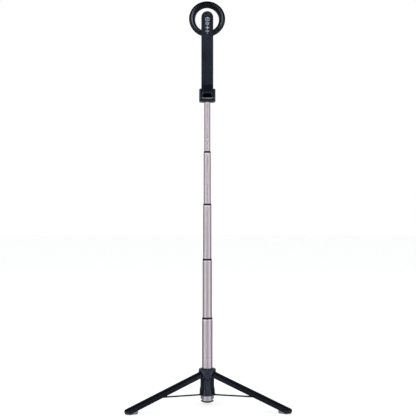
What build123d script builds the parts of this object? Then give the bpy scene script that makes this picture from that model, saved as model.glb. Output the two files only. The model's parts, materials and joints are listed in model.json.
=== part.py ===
from build123d import *

import os
from math import cos, hypot, radians, sin

# A telescopic selfie stick that stands on three folding legs and holds a phone on a magnetic ring.
# Millimetres, +Z up, floor at Z = 0, the stick faces -Y. The origin is the middle of the footprint
# on the floor, and the pole stands at Y = POLE_Y. Heights are above the floor, and depths called
# "back" are measured along +Y from the pole's axis.

# ---- driving dimensions ---------------------------------------------------------------------

RUNNING = 0.05  # radial clearance of a pin or a sliding tube
GAP = 0.3  # space between neighbours that move past each other

# Legs. Each swings on a pin in the crown, at PIVOT_RHO from the pole's axis.
LEG_AZIMUTHS = {"left": 210.0, "right": 330.0, "rear": 90.0}
LEG_SLOPE = 19.0
PIVOT_RHO = 11.2
PIVOT_Z = 48.5
LEG_HALF_WIDTH = 5.3
LEG_BELOW = -2.0  # the leg's underside, below the pin
LEG_ABOVE = 6.5  # the leg's top, above the pin
LEG_END = 145.9
TIP_ROUND = 5.0
TOP_ROUND = 3.2  # rounding of the leg's upper edges
CHANNEL_HALF_WIDTH = 3.8
CHANNEL_ROOF = 3.7
CHANNEL_END = 100.0
TONGUE_HALF_WIDTH = 3.0
TONGUE_END = 2.6
LEG_PIN_RADIUS = 0.8
LEG_PIN_HALF_LENGTH = 4.8
LEG_SOLE = 1.2  # height of the leg's trimmed tip above the floor
REAR_REACH = 150.25  # how far the tips reach behind the pole's axis
FRONT_REACH = 77.92  # and in front of it
PAD_HALF_WIDTH = 4.4

# Struts. Each runs from the slider to the channel in its leg.
STRUT_RHO = 11.6
STRUT_Z = 17.35
STRUT_REACH = 82.3  # its outer pin along the leg, from the leg's pin
STRUT_DROP = -0.6
STRUT_RADIUS = 1.25
EYE_RADIUS = 1.7
STRUT_PIN_RADIUS = 0.75
SLIDER_PIN_HALF_LENGTH = 2.8
END_PIN_HALF_LENGTH = 3.5

# Pole. Tube 5 is the outermost, tube 1 the innermost.
TUBE_RADII = {5: 8.6, 4: 7.7, 3: 6.8, 2: 5.9, 1: 5.0}
TUBE_TOPS = {5: 140.3, 4: 236.2, 3: 326.4, 2: 412.2, 1: 494.9}
TUBE_WALL = 0.5
TUBE_OVERLAP = 15.0
POLE_BOTTOM = 6.9
DIMPLE_Z = 129.4
DIMPLE_LENGTH = 4.2
DIMPLE_WIDTH = 1.7
COLLAR_HEIGHT = 2.8
COLLAR_SLEEVE = 6.0
BUSH_LENGTH = 8.8
BUSH_LIP = 1.0

# Hub.
CROWN_RADIUS = 14.1
CROWN_CORE_RADIUS = 12.95
CROWN_BOTTOM = 45.5
CROWN_TOP = 59.0
CROWN_RIM_BOTTOM = 57.0
SLOT_TOP = 55.5
PANEL_HALF_WIDTH = 13.1
PANEL_TIP = 43.6
LINER_RADIUS = 9.0
LINER_TOP = 47.2
PANEL_GROOVE = 1.1  # width of the groove beside each panel
GROOVE_RADIUS = 11.8  # and how deep it goes
HUB_COLLAR_RADIUS = 10.0
HUB_COLLAR_TOP = 60.3
HUB_BOTTOM = 15.6
RIB_HALF_WIDTH = 4.9
RIB_INNER = 10.1
RIB_OUTER = 11.3
RIB_FLARE = 12.4
RIB_FLARE_BOTTOM = 25.0  # the ribs lean outwards between these heights, going down
RIB_FLARE_TOP = 30.0
RIB_GROOVE_OFFSET = 2.6  # two grooves down each rib, one each side of its middle
RIB_GROOVE_WIDTH = 0.9
RIB_GROOVE_FLOOR = 10.4
RIB_GROOVE_BOTTOM = 18.0
RIB_GROOVE_TOP = 43.0
BASE_RING_RADIUS = 10.9
BASE_RING_BOTTOM = 9.5
HUB_SCREW_Z = 41.0
HUB_SCREW_SEAT = 10.95
SCREW_HEAD_RADIUS = 1.7
SCREW_HEAD_HEIGHT = 0.6
CAP_RADIUS = 10.5
CAP_BOTTOM = 4.2
CAP_PLUG_TOP = 14.0
SLIDER_BOTTOM = 15.8
SLIDER_TOP = 20.6
SLIDER_RADIUS = 9.9

# Head.
YOKE_BOTTOM = 495.5
YOKE_HEIGHT = 21.2
YOKE_WIDTH = 26.6
YOKE_DEPTH = 27.0
YOKE_CENTRE = -0.4
YOKE_FLOOR = 503.0
YOKE_SLOT_HALF_WIDTH = 10.05
STUD_RADIUS = 3.0
STUD_TOP = 500.3
PLUG_BOTTOM = 480.0
CLIP_BOTTOM = 498.9
CLIP_TOP = 499.7
CLIP_RADIUS = 4.4
AXLE_BACK = -10.3
AXLE_Z = 501.0
AXLE_RADIUS = 1.35
AXLE_HALF_LENGTH = 12.0

# Arm.
ARM_HALF_WIDTH = 9.7
ARM_TOP = 643.8
ARM_FRONT = -6.1
ARM_SEAM = 2.4
ARM_REAR = 5.9
ARM_FOOT = 503.4
ARM_WALL = 1.5
EAR_RADIUS = 2.8
EAR_INNER = 8.2
WINDOW_HALF_WIDTH = 6.8
WINDOW_BACK = -6.6
WINDOW_TOP = 508.5
HOLLOW_BOTTOM = 514.0
DOCK_BOTTOM = 596.0
ARM_SCREW_HEIGHTS = (530.0, 582.0)
ARM_SCREW_RADIUS = 0.9
POST_RADIUS = 2.4
COVER_THICKNESS = 1.4

# Remote control, which docks in the front of the arm.
REMOTE_Z = 620.0
REMOTE_LENGTH = 41.0
REMOTE_WIDTH = 12.0
REMOTE_BACK = -0.4
REMOTE_SEAM = -5.4
REMOTE_FRONT = -6.4
BUTTON_LENGTH = 30.0
BUTTON_WIDTH = 8.0

# Magnetic ring. Its depth is measured from its front crest towards the phone.
HINGE_BACK = 10.1
HINGE_Z = 608.2
HINGE_DROP = 26.3  # the hinge below the ring's centre
HINGE_DEPTH = 3.6
RING_LEAN = 6.0
RING_DEPTH = 8.0
RING_HOLE = 19.6
RING_RADIUS = 29.9
RING_HINGE_PIN_RADIUS = 0.9
RING_HINGE_PIN_HALF_LENGTH = 7.2
KNUCKLE_RADIUS = 2.1
KNUCKLE_HALF_WIDTH = 3.2
MAGNET_COUNT = 18

# The pole stands in front of the origin, so that the footprint's box is centred on it.
POLE_Y = (FRONT_REACH - REAR_REACH) / 2

POLE_AXIS = Axis((0, POLE_Y, 0), (0, 0, 1))
RIB_AZIMUTHS = (30.0, 150.0, 270.0)

os.makedirs("parts", exist_ok=True)


# ---- planes -----------------------------------------------------------------------------------

def level(height):
    """A level plane centred on the pole, at a height above the floor."""
    return Plane(origin=(0, POLE_Y, height))


def radial(azimuth):
    """The upright plane through the pole at an azimuth: x is outwards and y is up."""
    turn = radians(azimuth)
    return Plane(
        origin=(0, POLE_Y, 0),
        x_dir=(cos(turn), sin(turn), 0),
        z_dir=(sin(turn), -cos(turn), 0),
    )


def facing(back):
    """A plane that faces the front, at a depth behind the pole's axis: x is right and y is up."""
    return Plane(origin=(0, POLE_Y + back, 0), x_dir=(1, 0, 0), z_dir=(0, -1, 0))


def side():
    """The upright plane through the pole that shows the side view: x is back and y is up."""
    return Plane(origin=(0, POLE_Y, 0), x_dir=(0, 1, 0), z_dir=(1, 0, 0))


def outwards(azimuth):
    """The upright plane through the pole that faces outwards at an azimuth: y is up."""
    turn = radians(azimuth)
    return Plane(
        origin=(0, POLE_Y, 0),
        x_dir=(-sin(turn), cos(turn), 0),
        z_dir=(cos(turn), sin(turn), 0),
    )


def leg_plane(azimuth):
    """The side view of a leg: the origin is at its pin, x runs along it and y is its upper side."""
    upright = radial(azimuth)
    slope = radians(LEG_SLOPE)
    return Plane(
        origin=upright.from_local_coords(Vector(PIVOT_RHO, PIVOT_Z, 0)),
        x_dir=upright.x_dir * cos(slope) - upright.y_dir * sin(slope),
        z_dir=upright.z_dir,
    )


def save(piece, name):
    """Name a finished piece and write it as its own file."""
    piece.part.label = name
    export_step(piece.part, f"parts/{name}.step")


# ---- shapes that several pieces share ------------------------------------------------------------

def turned_piece(profile):
    """A ring or a plug on the pole, turned from a profile of (radius, height) points."""
    with BuildPart() as piece:
        with BuildSketch(radial(0)):
            with BuildLine():
                Polyline(*profile, close=True)
            make_face()
        revolve(axis=POLE_AXIS)
    return piece


def notched(piece):
    """A turned piece with room beside it for the three folded legs."""
    with BuildPart() as cut:
        add(piece.part)
        add(leg_notches, mode=Mode.SUBTRACT)
    return cut


def sector_cutter(half_width, inner, outer, bottom, top, azimuths):
    """Radial blocks around the pole, from an inner to an outer distance, for slots and notches."""
    with BuildPart() as cutter:
        for azimuth in azimuths:
            with BuildSketch(radial(azimuth)):
                with Locations(((inner + outer) / 2, (bottom + top) / 2)):
                    Rectangle(outer - inner, top - bottom)
            extrude(amount=half_width, both=True)
    return cutter.part


def cross_pins(rho, height, radius, half_length):
    """Pins that lie across the three leg directions."""
    with BuildPart() as pins:
        for azimuth in LEG_AZIMUTHS.values():
            with BuildSketch(radial(azimuth)):
                with Locations((rho, height)):
                    Circle(radius)
            extrude(amount=half_length, both=True)
    return pins


def radial_pins(radius, inner, outer, height):
    """Round bars that point outwards through the middle of the three ribs."""
    with BuildPart() as pins:
        for azimuth in RIB_AZIMUTHS:
            with BuildSketch(outwards(azimuth).offset(inner)):
                with Locations((0, height)):
                    Circle(radius)
            extrude(amount=outer - inner)
    return pins


SLOT_HALF_WIDTH = LEG_HALF_WIDTH + GAP
leg_notches = sector_cutter(
    SLOT_HALF_WIDTH, LINER_RADIUS, CROWN_RADIUS + 2, 0, CROWN_BOTTOM + 1.2, LEG_AZIMUTHS.values()
)
hub_screw_holes = radial_pins(LEG_PIN_RADIUS, TUBE_RADII[5] - 0.4, CROWN_RADIUS, HUB_SCREW_Z).part


# ---- pole ------------------------------------------------------------------------------------------

def tube_bottom(number):
    """The lower end of a tube, which overlaps the next one outwards."""
    if number == 5:
        return POLE_BOTTOM
    return TUBE_TOPS[number + 1] - TUBE_OVERLAP


def make_tube(number):
    """One stainless tube, with its upper outer edge broken."""
    radius = TUBE_RADII[number]
    with BuildPart() as tube:
        with BuildSketch(level(tube_bottom(number))):
            Circle(radius)
            Circle(radius - TUBE_WALL, mode=Mode.SUBTRACT)
        extrude(amount=TUBE_TOPS[number] - tube_bottom(number))
        rim = tube.edges().filter_by(GeomType.CIRCLE).group_by(Axis.Z)[-1].sort_by(SortBy.RADIUS)[-1]
        chamfer(rim, 0.15)
        if number == 5:
            add(hub_screw_holes, mode=Mode.SUBTRACT)
            # A pressed dimple near the mouth, half the wall deep, keeps the collar from turning.
            with BuildSketch(facing(-radius - 1)):
                with Locations((0, DIMPLE_Z)):
                    SlotOverall(DIMPLE_LENGTH, DIMPLE_WIDTH, rotation=90)
            extrude(amount=-1 - TUBE_WALL / 2, mode=Mode.SUBTRACT)
    return tube


def make_collar(number):
    """The plastic guide in a tube's mouth: a thin sleeve inside and a tapered shoulder on top."""
    mouth = TUBE_TOPS[number]
    bore = TUBE_RADII[number - 1] + RUNNING
    sleeve = TUBE_RADII[number] - TUBE_WALL
    shoulder = TUBE_RADII[number]
    return turned_piece([
        (bore, mouth - COLLAR_SLEEVE),
        (sleeve, mouth - COLLAR_SLEEVE),
        (sleeve, mouth),
        (shoulder - 0.1, mouth),
        (shoulder - 0.1, mouth + 0.6),
        (bore + 0.45, mouth + COLLAR_HEIGHT - 0.4),
        (bore + 0.2, mouth + COLLAR_HEIGHT),
        (bore, mouth + COLLAR_HEIGHT),
    ])


def make_bush(number):
    """The friction bush on the lower end of a tube, which rubs inside the next tube outwards."""
    bottom = tube_bottom(number)
    tube = TUBE_RADII[number]
    rubbing = TUBE_RADII[number + 1] - TUBE_WALL - RUNNING
    return turned_piece([
        (tube - TUBE_WALL, bottom - BUSH_LIP),
        (rubbing - 0.2, bottom - BUSH_LIP),
        (rubbing, bottom - BUSH_LIP + 0.3),
        (rubbing, bottom + BUSH_LENGTH),
        (tube, bottom + BUSH_LENGTH),
        (tube, bottom),
        (tube - TUBE_WALL, bottom),
    ])


for number in (5, 4, 3, 2, 1):
    save(make_tube(number), f"tube_{number}")
for number in (5, 4, 3, 2):
    save(make_collar(number), f"collar_{number}")
for number in (4, 3, 2, 1):
    save(make_bush(number), f"bush_{number}")

top_plug = turned_piece([
    (0, PLUG_BOTTOM),
    (TUBE_RADII[1] - TUBE_WALL, PLUG_BOTTOM),
    (TUBE_RADII[1] - TUBE_WALL, TUBE_TOPS[1]),
    (TUBE_RADII[1] + 1.0, TUBE_TOPS[1]),
    (TUBE_RADII[1] + 1.0, YOKE_BOTTOM - 0.2),
    (STUD_RADIUS, YOKE_BOTTOM - 0.2),
    (STUD_RADIUS, STUD_TOP - 0.3),
    (STUD_RADIUS - 0.3, STUD_TOP),
    (0, STUD_TOP),
])
save(top_plug, "top_plug")

swivel_clip = turned_piece([
    (STUD_RADIUS, CLIP_BOTTOM),
    (CLIP_RADIUS, CLIP_BOTTOM),
    (CLIP_RADIUS, CLIP_TOP),
    (STUD_RADIUS, CLIP_TOP),
])
save(swivel_clip, "swivel_clip")


# ---- hub ---------------------------------------------------------------------------------------------

# Each of the three panels on the crown is a triangle that points down, so the skin between them is
# cut away down to the core.
with BuildPart() as skin_cutter:
    with BuildSketch(level(PANEL_TIP - 1)):
        Circle(CROWN_RADIUS + 1)
        Circle(CROWN_CORE_RADIUS, mode=Mode.SUBTRACT)
    extrude(amount=CROWN_RIM_BOTTOM - PANEL_TIP + 1)
    for azimuth in RIB_AZIMUTHS:
        with BuildSketch(outwards(azimuth)):
            with BuildLine():
                Polyline(
                    (-PANEL_HALF_WIDTH, CROWN_RIM_BOTTOM),
                    (PANEL_HALF_WIDTH, CROWN_RIM_BOTTOM),
                    (0, PANEL_TIP),
                    close=True,
                )
            make_face()
        extrude(amount=CROWN_RADIUS + 2, mode=Mode.SUBTRACT)

# A groove runs beside each panel's two slanting edges.
with BuildPart() as panel_grooves:
    for azimuth in RIB_AZIMUTHS:
        with BuildSketch(outwards(azimuth).offset(8.0)):
            for hand in (-1, 1):
                with BuildLine():
                    Polyline(
                        (hand * PANEL_HALF_WIDTH, CROWN_RIM_BOTTOM),
                        (0, PANEL_TIP),
                        (0, PANEL_TIP - 1.5 * PANEL_GROOVE),
                        (hand * 2 * PANEL_GROOVE, PANEL_TIP - 0.4 * PANEL_GROOVE),
                        (hand * (PANEL_HALF_WIDTH + PANEL_GROOVE), CROWN_RIM_BOTTOM - 0.8),
                        close=True,
                    )
                make_face()
        extrude(amount=CROWN_RADIUS - 7.0)
    with BuildSketch(level(PANEL_TIP - 5)):
        Circle(GROOVE_RADIUS)
    extrude(amount=CROWN_TOP - PANEL_TIP + 5, mode=Mode.SUBTRACT)

# The ribs are narrower than the space between the leg slots, and taper towards the panels' tips.
with BuildPart() as rib_trims:
    for azimuth in RIB_AZIMUTHS:
        with BuildSketch(outwards(azimuth).offset(LINER_RADIUS * 0.8)):
            for hand in (-1, 1):
                with BuildLine():
                    Polyline(
                        (hand * 2.6, CROWN_BOTTOM),
                        (hand * RIB_HALF_WIDTH, CROWN_BOTTOM - 5.0),
                        (hand * RIB_HALF_WIDTH, HUB_BOTTOM + 12.0),
                        (hand * (RIB_HALF_WIDTH + 1.2), HUB_BOTTOM + 8.0),
                        (hand * (RIB_HALF_WIDTH + 1.2), HUB_BOTTOM - 1.0),
                        (hand * 9.0, HUB_BOTTOM - 1.0),
                        (hand * 9.0, CROWN_BOTTOM),
                        close=True,
                    )
                make_face()
        extrude(amount=6.0)

# Narrow slots in the crown for the tongues of the legs.
tongue_slots = sector_cutter(
    TONGUE_HALF_WIDTH + GAP, LINER_RADIUS, CROWN_RADIUS + 2,
    CROWN_BOTTOM - 1, SLOT_TOP, LEG_AZIMUTHS.values(),
)
with BuildPart() as rib_grooves:
    middle = (RIB_GROOVE_BOTTOM + RIB_GROOVE_TOP) / 2
    for azimuth in RIB_AZIMUTHS:
        with BuildSketch(outwards(azimuth).offset(RIB_GROOVE_FLOOR)):
            with Locations((-RIB_GROOVE_OFFSET, middle), (RIB_GROOVE_OFFSET, middle)):
                SlotOverall(RIB_GROOVE_TOP - RIB_GROOVE_BOTTOM, RIB_GROOVE_WIDTH, rotation=90)
        extrude(amount=CROWN_RADIUS - RIB_GROOVE_FLOOR)
screw_heads = radial_pins(
    SCREW_HEAD_RADIUS, HUB_SCREW_SEAT, HUB_SCREW_SEAT + SCREW_HEAD_HEIGHT, HUB_SCREW_Z
)
leg_pins = cross_pins(PIVOT_RHO, PIVOT_Z, LEG_PIN_RADIUS, LEG_PIN_HALF_LENGTH)
save(leg_pins, "leg_pins")

with BuildPart() as hub:
    # The crown, a short drum that holds the leg pins.
    with BuildSketch(level(CROWN_BOTTOM)):
        Circle(CROWN_RADIUS)
    extrude(amount=CROWN_TOP - CROWN_BOTTOM)
    chamfer(hub.edges().group_by(Axis.Z)[-1], 0.7)
    add(skin_cutter.part, mode=Mode.SUBTRACT)
    add(panel_grooves.part, mode=Mode.SUBTRACT)
    # A low collar where the pole enters.
    with BuildSketch(level(CROWN_TOP - 1)):
        Circle(HUB_COLLAR_RADIUS)
    extrude(amount=HUB_COLLAR_TOP - CROWN_TOP + 1)
    chamfer(hub.edges().group_by(Axis.Z)[-1], 0.5)
    # The skirt below it, cut into three ribs by the slots that the folded legs lie in.
    with BuildSketch(radial(0)):
        with BuildLine():
            Polyline(
                (RIB_INNER, HUB_BOTTOM),
                (RIB_FLARE, HUB_BOTTOM),
                (RIB_FLARE, RIB_FLARE_BOTTOM),
                (RIB_OUTER, RIB_FLARE_TOP),
                (RIB_OUTER, CROWN_BOTTOM + 0.5),
                (RIB_INNER, CROWN_BOTTOM + 0.5),
                close=True,
            )
        make_face()
    revolve(axis=POLE_AXIS)
    add(rib_trims.part, mode=Mode.SUBTRACT)
    add(leg_notches, mode=Mode.SUBTRACT)
    add(tongue_slots, mode=Mode.SUBTRACT)
    add(leg_pins.part, mode=Mode.SUBTRACT)
    # The bore, wider where the liner ends inside the crown.
    with BuildSketch(level(CROWN_BOTTOM - 1)):
        Circle(LINER_RADIUS)
    extrude(amount=LINER_TOP - CROWN_BOTTOM + 1, mode=Mode.SUBTRACT)
    with BuildSketch(level(CROWN_BOTTOM - 1)):
        Circle(TUBE_RADII[5])
    extrude(amount=HUB_COLLAR_TOP - CROWN_BOTTOM + 2, mode=Mode.SUBTRACT)
    # Two grooves down each rib, and between them the hole and the seat for its screw.
    add(rib_grooves.part, mode=Mode.SUBTRACT)
    add(hub_screw_holes, mode=Mode.SUBTRACT)
    add(screw_heads.part, mode=Mode.SUBTRACT)
save(hub, "hub_casting")

with BuildPart() as liner:
    with BuildSketch(level(HUB_BOTTOM)):
        Circle(LINER_RADIUS)
        Circle(TUBE_RADII[5], mode=Mode.SUBTRACT)
    extrude(amount=LINER_TOP - HUB_BOTTOM)
    add(hub_screw_holes, mode=Mode.SUBTRACT)
save(liner, "column_liner")

# Three screws through the ribs hold the hub on the outermost tube.
screw_shanks = radial_pins(LEG_PIN_RADIUS, TUBE_RADII[5] - 0.4, RIB_OUTER, HUB_SCREW_Z)
with BuildPart() as hub_screws:
    add(screw_shanks.part)
    add(screw_heads.part)
save(hub_screws, "hub_screws")

base_ring = notched(turned_piece([
    (TUBE_RADII[5], BASE_RING_BOTTOM),
    (BASE_RING_RADIUS - 0.8, BASE_RING_BOTTOM),
    (BASE_RING_RADIUS, BASE_RING_BOTTOM + 1.2),
    (BASE_RING_RADIUS, HUB_BOTTOM),
    (TUBE_RADII[5], HUB_BOTTOM),
]))
save(base_ring, "base_ring")

end_cap = notched(turned_piece([
    (0, CAP_BOTTOM),
    (CAP_RADIUS - 2.9, CAP_BOTTOM),
    (CAP_RADIUS - 1.6, CAP_BOTTOM + 1.2),
    (CAP_RADIUS - 0.3, CAP_BOTTOM + 1.2),
    (CAP_RADIUS, CAP_BOTTOM + 1.6),
    (CAP_RADIUS, POLE_BOTTOM - 0.3),
    (CAP_RADIUS - 0.3, POLE_BOTTOM),
    (TUBE_RADII[5] - TUBE_WALL, POLE_BOTTOM),
    (TUBE_RADII[5] - TUBE_WALL, CAP_PLUG_TOP),
    (0, CAP_PLUG_TOP),
]))
save(end_cap, "end_cap")


# ---- slider --------------------------------------------------------------------------------------------

# Three forked lugs on the slider carry the inner ends of the struts.
slider_lugs = sector_cutter(
    SLIDER_PIN_HALF_LENGTH, LINER_RADIUS, STRUT_RHO + EYE_RADIUS,
    SLIDER_BOTTOM, SLIDER_TOP - 0.8, LEG_AZIMUTHS.values(),
)
lug_forks = sector_cutter(
    STRUT_RADIUS + GAP, STRUT_RHO - EYE_RADIUS - 0.2, CROWN_RADIUS,
    SLIDER_BOTTOM - 1, SLIDER_TOP + 1, LEG_AZIMUTHS.values(),
)
slider_pins = cross_pins(STRUT_RHO, STRUT_Z, STRUT_PIN_RADIUS, SLIDER_PIN_HALF_LENGTH)
save(slider_pins, "slider_pins")

with BuildPart() as slider:
    with BuildSketch(level(SLIDER_BOTTOM)):
        Circle(SLIDER_RADIUS)
    extrude(amount=SLIDER_TOP - SLIDER_BOTTOM)
    add(slider_lugs)
    with BuildSketch(level(SLIDER_BOTTOM)):
        Circle(LINER_RADIUS + RUNNING)
    extrude(amount=SLIDER_TOP - SLIDER_BOTTOM, mode=Mode.SUBTRACT)
    add(lug_forks, mode=Mode.SUBTRACT)
    add(slider_pins.part, mode=Mode.SUBTRACT)
save(slider, "slider")


# ---- legs, feet and struts -----------------------------------------------------------------------------

def leg_height(along_leg, across):
    """Height above the floor of a point of a leg, given along it and towards its upper side."""
    return PIVOT_Z - along_leg * sin(radians(LEG_SLOPE)) + across * cos(radians(LEG_SLOPE))


def leg_rho(along_leg, across):
    """Distance from the pole's axis of a point of a leg."""
    return PIVOT_RHO + along_leg * cos(radians(LEG_SLOPE)) + across * sin(radians(LEG_SLOPE))


# Where the leg's underside meets the trimmed sole, and the sole's end at the tip.
SOLE_START = (PIVOT_Z - LEG_SOLE + LEG_BELOW * cos(radians(LEG_SLOPE))) / sin(radians(LEG_SLOPE))
SOLE_RISE = (LEG_SOLE - leg_height(LEG_END, 0)) / cos(radians(LEG_SLOPE))


def make_leg(azimuth):
    """A leg: a channel open underneath, a solid tip with a trimmed sole, and a tongue on its pin."""
    plane = leg_plane(azimuth)
    with BuildPart() as leg:
        with BuildSketch(plane):
            with BuildLine():
                Polyline(
                    (1.2, LEG_ABOVE),
                    (3.65, LEG_BELOW),
                    (SOLE_START, LEG_BELOW),
                    (LEG_END, SOLE_RISE),
                    (LEG_END, LEG_ABOVE),
                    close=True,
                )
            make_face()
        extrude(amount=LEG_HALF_WIDTH, both=True)
        along_leg = Axis(plane.origin, plane.x_dir)
        upwards = Axis(plane.origin, plane.y_dir)
        fillet(leg.edges().filter_by(upwards).sort_by(along_leg)[-2:], TIP_ROUND)
        top_face = leg.faces().sort_by(upwards)[-1]
        fillet(top_face.edges().sort_by(along_leg)[1:], TOP_ROUND)
        with BuildSketch(plane):
            with BuildLine():
                Polyline(
                    (TONGUE_END, LEG_BELOW - 1),
                    (CHANNEL_END, LEG_BELOW - 1),
                    (CHANNEL_END, CHANNEL_ROOF),
                    (TONGUE_END, CHANNEL_ROOF),
                    close=True,
                )
            make_face()
        extrude(amount=CHANNEL_HALF_WIDTH, both=True, mode=Mode.SUBTRACT)
        with BuildSketch(plane):
            Circle(-LEG_BELOW)
            with BuildLine():
                Polyline(
                    (LEG_BELOW, 0),
                    (0, LEG_BELOW),
                    (TONGUE_END, LEG_BELOW),
                    (TONGUE_END, CHANNEL_ROOF),
                    (TONGUE_END + 2, CHANNEL_ROOF),
                    (TONGUE_END + 2, LEG_ABOVE),
                    (0.5, LEG_ABOVE),
                    (LEG_BELOW, 2.5),
                    close=True,
                )
            make_face()
        extrude(amount=TONGUE_HALF_WIDTH, both=True)
        with BuildSketch(plane):
            Circle(LEG_PIN_RADIUS + RUNNING)
        extrude(amount=LEG_HALF_WIDTH, both=True, mode=Mode.SUBTRACT)
    return leg


def make_foot_pad(azimuth):
    """The rubber wedge under a leg's tip, flat where it meets the floor."""
    with BuildPart() as pad:
        with BuildSketch(radial(azimuth)):
            with BuildLine():
                Polyline(
                    (leg_rho(124.9, LEG_BELOW), leg_height(124.9, LEG_BELOW)),
                    (129.4, 1.0),
                    (130.4, 0),
                    (143.6, 0),
                    (145.4, LEG_SOLE),
                    (leg_rho(SOLE_START, LEG_BELOW), LEG_SOLE),
                    close=True,
                )
            make_face()
        extrude(amount=PAD_HALF_WIDTH, both=True)
    return pad


# The strut's two pins, in the (rho, height) plane of its leg.
OUTER_RHO = leg_rho(STRUT_REACH, STRUT_DROP)
OUTER_Z = leg_height(STRUT_REACH, STRUT_DROP)
STRUT_LENGTH = hypot(OUTER_RHO - STRUT_RHO, OUTER_Z - STRUT_Z)


def make_strut(azimuth):
    """A round rod with a flat eye at each end."""
    upright = radial(azimuth)
    start = upright.from_local_coords(Vector(STRUT_RHO, STRUT_Z, 0))
    end = upright.from_local_coords(Vector(OUTER_RHO, OUTER_Z, 0))
    plane = Plane(origin=start, x_dir=end - start, z_dir=upright.z_dir)
    across = Plane(origin=plane.from_local_coords(Vector(1, 0, 0)), x_dir=plane.y_dir, z_dir=plane.x_dir)
    with BuildPart() as strut:
        with BuildSketch(across):
            Circle(STRUT_RADIUS)
        extrude(amount=STRUT_LENGTH - 2)
        with BuildSketch(plane):
            with Locations((0, 0), (STRUT_LENGTH, 0)):
                Circle(EYE_RADIUS)
        extrude(amount=STRUT_RADIUS, both=True)
        with BuildSketch(plane):
            Circle(STRUT_PIN_RADIUS + RUNNING)
            with Locations((STRUT_LENGTH, 0)):
                Circle(STRUT_PIN_RADIUS)
        extrude(amount=STRUT_RADIUS + 1, both=True, mode=Mode.SUBTRACT)
    return strut


def make_strut_pin(azimuth):
    """The pin in a strut's outer eye, short enough to slide between the walls of the channel."""
    with BuildPart() as pin:
        with BuildSketch(radial(azimuth)):
            with Locations((OUTER_RHO, OUTER_Z)):
                Circle(STRUT_PIN_RADIUS)
        extrude(amount=END_PIN_HALF_LENGTH, both=True)
    return pin


for place, azimuth in LEG_AZIMUTHS.items():
    save(make_leg(azimuth), f"leg_{place}")
    save(make_foot_pad(azimuth), f"foot_pad_{place}")
    save(make_strut(azimuth), f"strut_{place}")
    save(make_strut_pin(azimuth), f"strut_pin_{place}")


# ---- head: yoke, axle and washers ------------------------------------------------------------------------

with BuildPart() as yoke:
    with BuildSketch(level(YOKE_BOTTOM)):
        with Locations((0, YOKE_CENTRE)):
            RectangleRounded(YOKE_WIDTH, YOKE_DEPTH, 8.0)
    extrude(amount=YOKE_HEIGHT)
    fillet(yoke.edges().group_by(Axis.Z)[-1], 1.8)
    fillet(yoke.edges().group_by(Axis.Z)[0], 1.4)
    # The slot that the arm stands in, and the open front that lets it fold down.
    with BuildSketch(side()):
        with BuildLine():
            Polyline(
                (-20, YOKE_BOTTOM - 1),
                (-6.4, YOKE_BOTTOM - 1),
                (-6.4, YOKE_FLOOR),
                (ARM_REAR + GAP, YOKE_FLOOR),
                (ARM_REAR + GAP, YOKE_BOTTOM + YOKE_HEIGHT + 1),
                (-20, YOKE_BOTTOM + YOKE_HEIGHT + 1),
                close=True,
            )
        make_face()
    extrude(amount=YOKE_SLOT_HALF_WIDTH, both=True, mode=Mode.SUBTRACT)
    with BuildSketch(side()):
        with Locations((AXLE_BACK, AXLE_Z)):
            Circle(AXLE_RADIUS)
    extrude(amount=AXLE_HALF_LENGTH, both=True, mode=Mode.SUBTRACT)
    # The bore that turns on the stud, and the well for its clip.
    with BuildSketch(level(YOKE_BOTTOM)):
        Circle(STUD_RADIUS + RUNNING)
    extrude(amount=YOKE_HEIGHT, mode=Mode.SUBTRACT)
    with BuildSketch(level(CLIP_BOTTOM - GAP)):
        Circle(CLIP_RADIUS + 0.4)
    extrude(amount=YOKE_HEIGHT, mode=Mode.SUBTRACT)
save(yoke, "yoke")

with BuildPart() as hinge_axle:
    with BuildSketch(side()):
        with Locations((AXLE_BACK, AXLE_Z)):
            Circle(AXLE_RADIUS)
    extrude(amount=AXLE_HALF_LENGTH, both=True)
    chamfer(hinge_axle.edges().filter_by(GeomType.CIRCLE), 0.25)
save(hinge_axle, "hinge_axle")

with BuildPart() as hinge_washers:
    with BuildSketch(side()):
        with Locations((AXLE_BACK, AXLE_Z)):
            Circle(EAR_RADIUS)
            Circle(AXLE_RADIUS, mode=Mode.SUBTRACT)
    extrude(amount=YOKE_SLOT_HALF_WIDTH - 0.05, both=True)
    with BuildSketch(side()):
        with Locations((AXLE_BACK, AXLE_Z)):
            Circle(EAR_RADIUS)
    extrude(amount=ARM_HALF_WIDTH + 0.05, both=True, mode=Mode.SUBTRACT)
save(hinge_washers, "hinge_washers")


# ---- arm ---------------------------------------------------------------------------------------------------

ARM_TOP_CENTRE = ARM_TOP - ARM_HALF_WIDTH


def arm_block(near, far, bottom, inset):
    """The arm's outline seen from the front, with its round top, between two depths."""
    half_width = ARM_HALF_WIDTH - inset
    with BuildPart() as block:
        with BuildSketch(facing(far)):
            with Locations((0, (bottom + ARM_TOP_CENTRE) / 2)):
                Rectangle(2 * half_width, ARM_TOP_CENTRE - bottom)
            with Locations((0, ARM_TOP_CENTRE)):
                Circle(half_width)
        extrude(amount=far - near)
    return block.part


def pill(near, far, length, width):
    """A block with the outline of a pill, upright and centred on the remote, between two depths."""
    with BuildPart() as block:
        with BuildSketch(facing(far)):
            with Locations((0, REMOTE_Z)):
                SlotOverall(length, width, rotation=90)
        extrude(amount=far - near)
    return block.part


def front_rods(near, far, radius, heights):
    """Round bars along the depth, on the middle line of the arm."""
    with BuildPart() as rods:
        with BuildSketch(facing(far)):
            with Locations(*[(0, height) for height in heights]):
                Circle(radius)
        extrude(amount=far - near)
    return rods.part


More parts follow.
